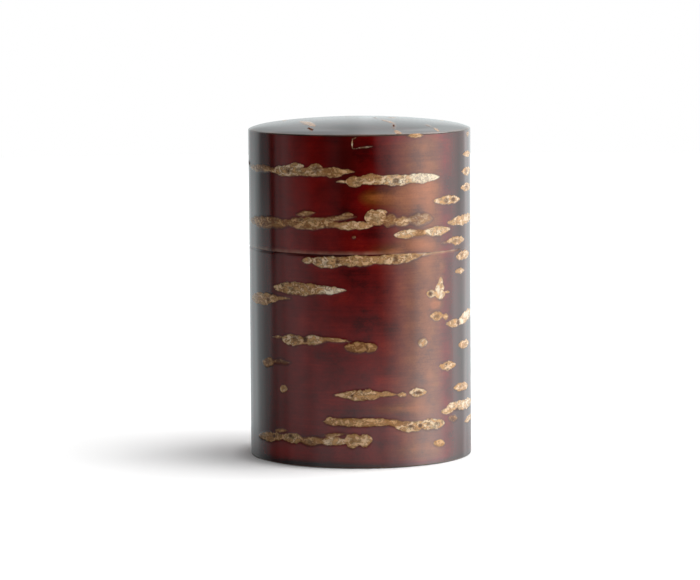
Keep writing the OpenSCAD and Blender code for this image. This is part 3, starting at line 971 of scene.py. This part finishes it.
def knob():
    """The turned knob: a tenon, a cove up from the bark, a waist, a second cove out to the head, a round
    edge and a low crown."""
    head_z = KNOB_TOP - KNOB_CROWN - 2 * HEAD_EDGE_R
    line = profile(
        [(0, KNOB_LOW)],
        run(TENON_R, KNOB_LOW, TENON_R, INNER_TOP, 4),
        [(WAIST_R + FOOT_COVE_R, INNER_TOP)],
        arc(WAIST_R + FOOT_COVE_R, INNER_TOP + FOOT_COVE_R, FOOT_COVE_R, 270, 180, 12),
        arc(WAIST_R + HEAD_COVE_R, head_z - HEAD_COVE_R, HEAD_COVE_R, 180, 90, 12),
        arc(KNOB_R - HEAD_EDGE_R, head_z + HEAD_EDGE_R, HEAD_EDGE_R, -90, 90, 16),
        dome(KNOB_R - HEAD_EDGE_R, KNOB_TOP - KNOB_CROWN, KNOB_CROWN, 20),
    )
    angle = columns(KNOB_COLUMNS)
    piece = turned_mesh("knob", *spread(line, angle), angle)
    settle(piece, "inner_lid_knob", "inner_lid", knob_wood)


# The skins and the turned pieces
base_skin()
outer_sleeve("body_bark", "body", 0, EASE_H, BODY_MARKS, BODY_SPOTS, BODY_GLOWS_AND_PAINTED_LIGHT, BODY_FLUSHES)
outer_sleeve("lid_bark", "lid", LID_LIP_R, 0, LID_MARKS, LID_SPOTS, LID_GLOWS_AND_PAINTED_LIGHT, LID_FLUSHES)
dome_skin()
lining_sleeve("collar_skin", "collar_bark", "body", TUBE_R, "top_out", 100, 31)
lining_sleeve("tube_skin", "tube_lining", "body", INSIDE_R, "none", 100, 32)
lining_sleeve("lid_inside_skin", "lid_lining", "lid", LID_BORE_R, "low_in", 60, 33)
lining_disc("floor_skin", "floor_lining", "body", 34)
lining_disc("ceiling_skin", "lid_ceiling", "lid", 35)
lining_disc("underside_skin", "inner_lid_underside", "inner_lid", 36)
lining_disc(
    "inner_lid_skin", "inner_lid_top_bark", "inner_lid", 37,
    material=dome_bark, bore_r=TENON_R, edge_r=LIP_R,
)
edge_band()
hoop()
knob()

# The solids that keep their CAD shape
for name, finish in (
    ("base_board", board), ("lid_board", board), ("inner_lid_board", board),
    ("body_core", veneer), ("inner_tube", veneer), ("lid_core", veneer),
):
    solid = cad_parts[name]
    solid.data.materials.clear()
    solid.data.materials.append(finish)


# Floor, light and camera
TABLE_R = 1500
TABLE_T = 6


def white_floor():
    """A round white table: its own shade in the light, plus a little of its own light for the camera, so
    that it stays white away from the canister's shadow. Close round the foot that light is dimmed, a
    painted contact shadow. Surfaces that it lights see it a little greyer."""
    material, put, place = blank_material("white_table")
    shade = put("BsdfDiffuse", {"Color": to_linear("#e6e6e6")})
    grey = put("BsdfDiffuse", {"Color": to_linear("#bcbcbc")})
    out = put("VectorMath", {0: place}, operation="LENGTH").outputs["Value"]
    glow = put("MapRange", {
        "Value": out, "From Min": 0.15, "From Max": 0.5, "To Min": 0.27, "To Max": 1.0,
    })
    # Painted contact shadow: the table's own light dims in a ring close round the canister's foot
    contact_shadow = put("MapRange", {
        "Value": out, "From Min": 0.040, "From Max": 0.048, "To Min": 0.35, "To Max": 1.0,
    })
    glow = put("Math", {0: glow, 1: contact_shadow}, operation="MULTIPLY")
    lift = put("Emission", {"Color": to_linear("#ffffff"), "Strength": glow})
    rays = put("LightPath")
    seen = put("Math", {
        0: rays.outputs["Is Camera Ray"], 1: rays.outputs["Is Transmission Ray"],
    }, operation="MAXIMUM")
    lit = put("AddShader", {0: shade, 1: lift})
    surface = put("MixShader", {0: seen, 1: grey, 2: lit})
    put("OutputMaterial", {"Surface": surface})
    angle = columns(96)
    line = profile(run(0, -TABLE_T, TABLE_R, -TABLE_T, 2), run(TABLE_R, 0, 0, 0, 8))
    floor = turned_mesh("table", *spread(line, angle), angle)
    floor.data.materials.append(material)
    floor.visible_glossy = False


# What the polish mirrors: brightness by the direction round the canister, from the front towards +X
MIRRORED_ANGLE = (
    -180, -150, -137, -129, -122, -116, -110, -105, -103, -96, -93, -84, -73, -63, -54, -44, -35, -27, -15,
    15, 23, 32, 40, 49, 58, 68, 78, 89, 102, 112, 118, 124, 130, 136, 140, 146, 152, 164, 180,
)
MIRRORED_LIGHT = (
    1.0, 0.85, 1.2, 1.0, 0.75, 0.6, 0.55, 0.25, 0.05, 0.05, 0.43, 0.38, 0.62, 0.6, 0.36, 0.32, 0.2, 0.08,
    0.0, 0.0, 0.3, 0.85, 1.3, 1.8, 2.9, 3.8, 3.75, 3.5, 2.6, 2.1, 1.7, 1.35, 1.2, 1.75, 2.1, 1.55, 1.35,
    1.2, 1.0,
)
# The white table, by the direction and by the height at which the wall stands in for it
TABLE_ANGLE = (-75, -55, -35, -18, 0, 15, 40, 55, 70, 85, 100)
TABLE_SHARE = (0.0, 0.15, 0.45, 0.65, 0.85, 1.0, 1.0, 1.3, 1.1, 0.6, 0.0)
TABLE_HEIGHT = (-190, -150, -137, -115, -99, -83, -70, -40)
TABLE_LIGHT = (0.0, 0.3, 1.9, 1.7, 1.35, 1.05, 0.55, 0.0)
# The backdrop behind the dome, which is darker higher up
BACKDROP_HEIGHT = (60, 150, 226, 276, 318, 355, 393, 450, 575, 832, 1300, 1500)
BACKDROP_LIGHT = (1.0, 1.12, 1.05, 0.93, 0.84, 0.77, 0.7, 0.77, 1.05, 1.72, 2.8, 0.3)
# The strip of soft box on the right that the eased edge under the lid mirrors: its upper edge
STRIP_ANGLE = (45, 64, 95, 122, 134)
STRIP_TOP = (830, 730, 570, 390, 330)
# The wall itself, and the heights over which the canister's shadow fades
SURROUND_R = 900
SURROUND_LOW = -400
SURROUND_TOP = 1600
SHADE_FADE = (-145, -115)
# Patches of the wall that are brighter or dimmer than the rest. Each has the directions between which it
# comes and those between which it goes, the same for its heights, and the share of light that it adds
BELOW = (-2001, -2000)
BEYOND = (2000, 2001)
WALL_PATCHES = (
    # Glare at the right edge of the body, and the table's shade under it
    ((100, 115), (126, 136), (-132, -112), (-25, 10), 0.4),
    ((130, 142), BEYOND, BELOW, (-135, -92), -0.38),
    # The lid's darker left edge
    ((-128, -120), (-106, -100), (-10, 40), BEYOND, -0.45),
    # The large soft box on the right, which ends a little above the canister
    ((15, 35), (118, 135), (80, 150), BEYOND, -0.72),
)


def surround():
    """White cards, soft boxes and the dark side of the room, as the polish mirrors them: a wall far round
    the canister whose own light follows the direction and the height. The left card and the right soft box
    lean. The wall reaches below the table, which reflections don't see, and stands in for it."""
    material, put, place = blank_material("studio_cards")
    light, cool = (
        put("Attribute", attribute_name=field).outputs["Fac"] for field in ("light", "cool")
    )
    tint = put("MixRGB", {
        "Fac": cool, "Color1": to_linear("#ffffff"), "Color2": to_linear("#e2fafc"),
    })
    cards = put("Emission", {"Color": tint, "Strength": light})
    put("OutputMaterial", {"Surface": cards})
    line = profile(
        run(SURROUND_R, SURROUND_TOP, SURROUND_R, SURROUND_LOW, 201),
        run(SURROUND_R + 5, SURROUND_LOW, SURROUND_R + 5, SURROUND_TOP, 2),
    )
    angle = columns(720)
    shape, height = spread(line, angle)
    turn = np.degrees(angle) + 0 * height
    lean = 0.1 * np.clip(height, -60, 60) * between(turn, (0, 20), (60, 90))
    lean += 0.42 * np.clip(height + 33, 0, 90) * between(turn, (-90, -75), (-45, -25))
    wall = np.interp(turn + lean, MIRRORED_ANGLE, MIRRORED_LIGHT)

    # The canister's own shadow on the left, with a paler streak in it, then the table and the patches
    shade = (0.1 + 0.9 * smooth(*SHADE_FADE, height)) * (1 - 0.22 * smooth(0, 52, height))
    wall = wall * (1 - (1 - shade) * (1 - smooth(-60, -40, turn)))
    wall += 0.22 * between(turn, (-112, -106), (-97, -92)) * between(height, SHADE_FADE, (-30, -5))
    wall += np.interp(turn, TABLE_ANGLE, TABLE_SHARE) * np.interp(height, TABLE_HEIGHT, TABLE_LIGHT)
    for turn_in, turn_out, height_in, height_out, share in WALL_PATCHES:
        patch = between(turn, turn_in, turn_out) * between(height, height_in, height_out)
        wall = wall * (1 + share * patch)

    # The backdrop behind the dome, a little uneven to either side of its middle, low down and higher up
    behind = smooth(100, 125, np.abs(turn))
    aside = np.sign(turn) * (180 - np.abs(turn))
    near = 1.3 - 0.3 * smooth(-0.3, 1.5, aside) - 0.12 * smooth(1.5, 3.5, -aside)
    far = 1.02 + (0.5 * smooth(0, 4, -aside) + 0.42 * smooth(4, 7.5, aside)) * smooth(750, 550, height)
    gain = 1 + smooth(100, 180, height) * (near - 1 + (far - near) * smooth(320, 390, height))
    backdrop = np.interp(height, BACKDROP_HEIGHT, BACKDROP_LIGHT) * gain
    wall = wall * (1 - behind + behind * backdrop)

    # High up it is dark, apart from a soft box on the right: the strip, and a square that the rim mirrors
    drop = smooth(85, 105, turn)
    high = smooth(420 - 150 * drop, 560 - 180 * drop, height) * (1 - smooth(122, 134, np.abs(turn)))
    strip_top = np.interp(turn, STRIP_ANGLE, STRIP_TOP)
    strip = 3.6 - 2.4 * smooth(strip_top, strip_top + 90, height)
    square = smooth(92, 106, turn) * smooth(640, 760, height)
    box = strip * (1 - square) + 9 * square
    box = box * smooth(42, 50, turn) * (1 - smooth(1300, 1450, height))

    # The card on the left, the far right and the backdrop are a little cooler
    low = 1 - smooth(100, 200, height)
    cooler = 0.4 * smooth(95, 110, -turn) + 0.6 * smooth(138, 150, turn)
    fields = {
        "light": wall * (1 - high) + (0.1 + box) * high,
        "cool": low * cooler + 0.3 * behind * (1 - low),
    }
    cards = turned_mesh("studio_cards", shape, height, angle, fields)
    cards.data.materials.append(material)
    cards.visible_camera = False
    cards.visible_diffuse = False
    cards.visible_shadow = False
    cards.visible_transmission = False


def soft_key(name, azimuth, elevation, distance, size, power):
    """A square soft box that looks at the canister's middle from an azimuth, from the front towards +X."""
    data = bpy.data.lights.new(name, "AREA")
    data.shape = "SQUARE"
    data.size = size
    data.energy = power
    lamp = bpy.data.objects.new(name, data)
    turn, lift = math.radians(azimuth), math.radians(elevation)
    lamp.rotation_euler = (math.pi / 2 - lift, 0, turn)
    lamp.location = (
        distance * math.cos(lift) * math.sin(turn),
        -distance * math.cos(lift) * math.cos(turn),
        distance * math.sin(lift) + APEX_Z * MM / 2,
    )
    lamp.visible_glossy = False
    bpy.context.collection.objects.link(lamp)


def room():
    """A white room: full white to the camera and to reflections, and a low even light for the surfaces."""
    world = bpy.data.worlds.new("white_room")
    world.use_nodes = True
    world.node_tree.nodes.clear()
    put = partial(add, world.node_tree)
    rays = put("LightPath")
    seen = put("Math", {
        0: rays.outputs["Is Camera Ray"], 1: rays.outputs["Is Glossy Ray"],
    }, operation="MAXIMUM")
    seen = put("Math", {0: seen, 1: rays.outputs["Is Transmission Ray"]}, operation="MAXIMUM")
    strength = put("MapRange", {"Value": seen, "To Min": 0.135, "To Max": 1.0})
    light = put("Background", {"Color": to_linear("#ffffff"), "Strength": strength})
    put("OutputWorld", {"Surface": light})
    bpy.context.scene.world = world


# In metres, the angles in radians and the lens in millimetres
CAMERA_AT = (-0.0037, -1.3, 0.2026)
CAMERA_DOWN = math.radians(6.295)
CAMERA_ROLL = math.radians(-0.36)
CAMERA_LENS = 185.8


def camera():
    """The photograph's camera: a little above the top of the canister, turned down and slightly rolled."""
    data = bpy.data.cameras.new("camera")
    data.sensor_width = 36
    data.lens = CAMERA_LENS
    data.clip_end = 20
    eye = bpy.data.objects.new("camera", data)
    eye.location = CAMERA_AT
    look = Euler((math.pi / 2 - CAMERA_DOWN, 0, 0)).to_matrix()
    eye.rotation_euler = (look @ Matrix.Rotation(CAMERA_ROLL, 3, "Z")).to_euler()
    bpy.context.collection.objects.link(eye)
    bpy.context.scene.camera = eye


white_floor()
surround()
room()
soft_key("soft_box", azimuth=66, elevation=12, distance=1.0, size=0.7, power=6.4)
soft_key("overhead_soft_box", azimuth=100, elevation=72, distance=1.0, size=0.55, power=11.8)
camera()
bpy.context.scene.view_settings.view_transform = "Standard"
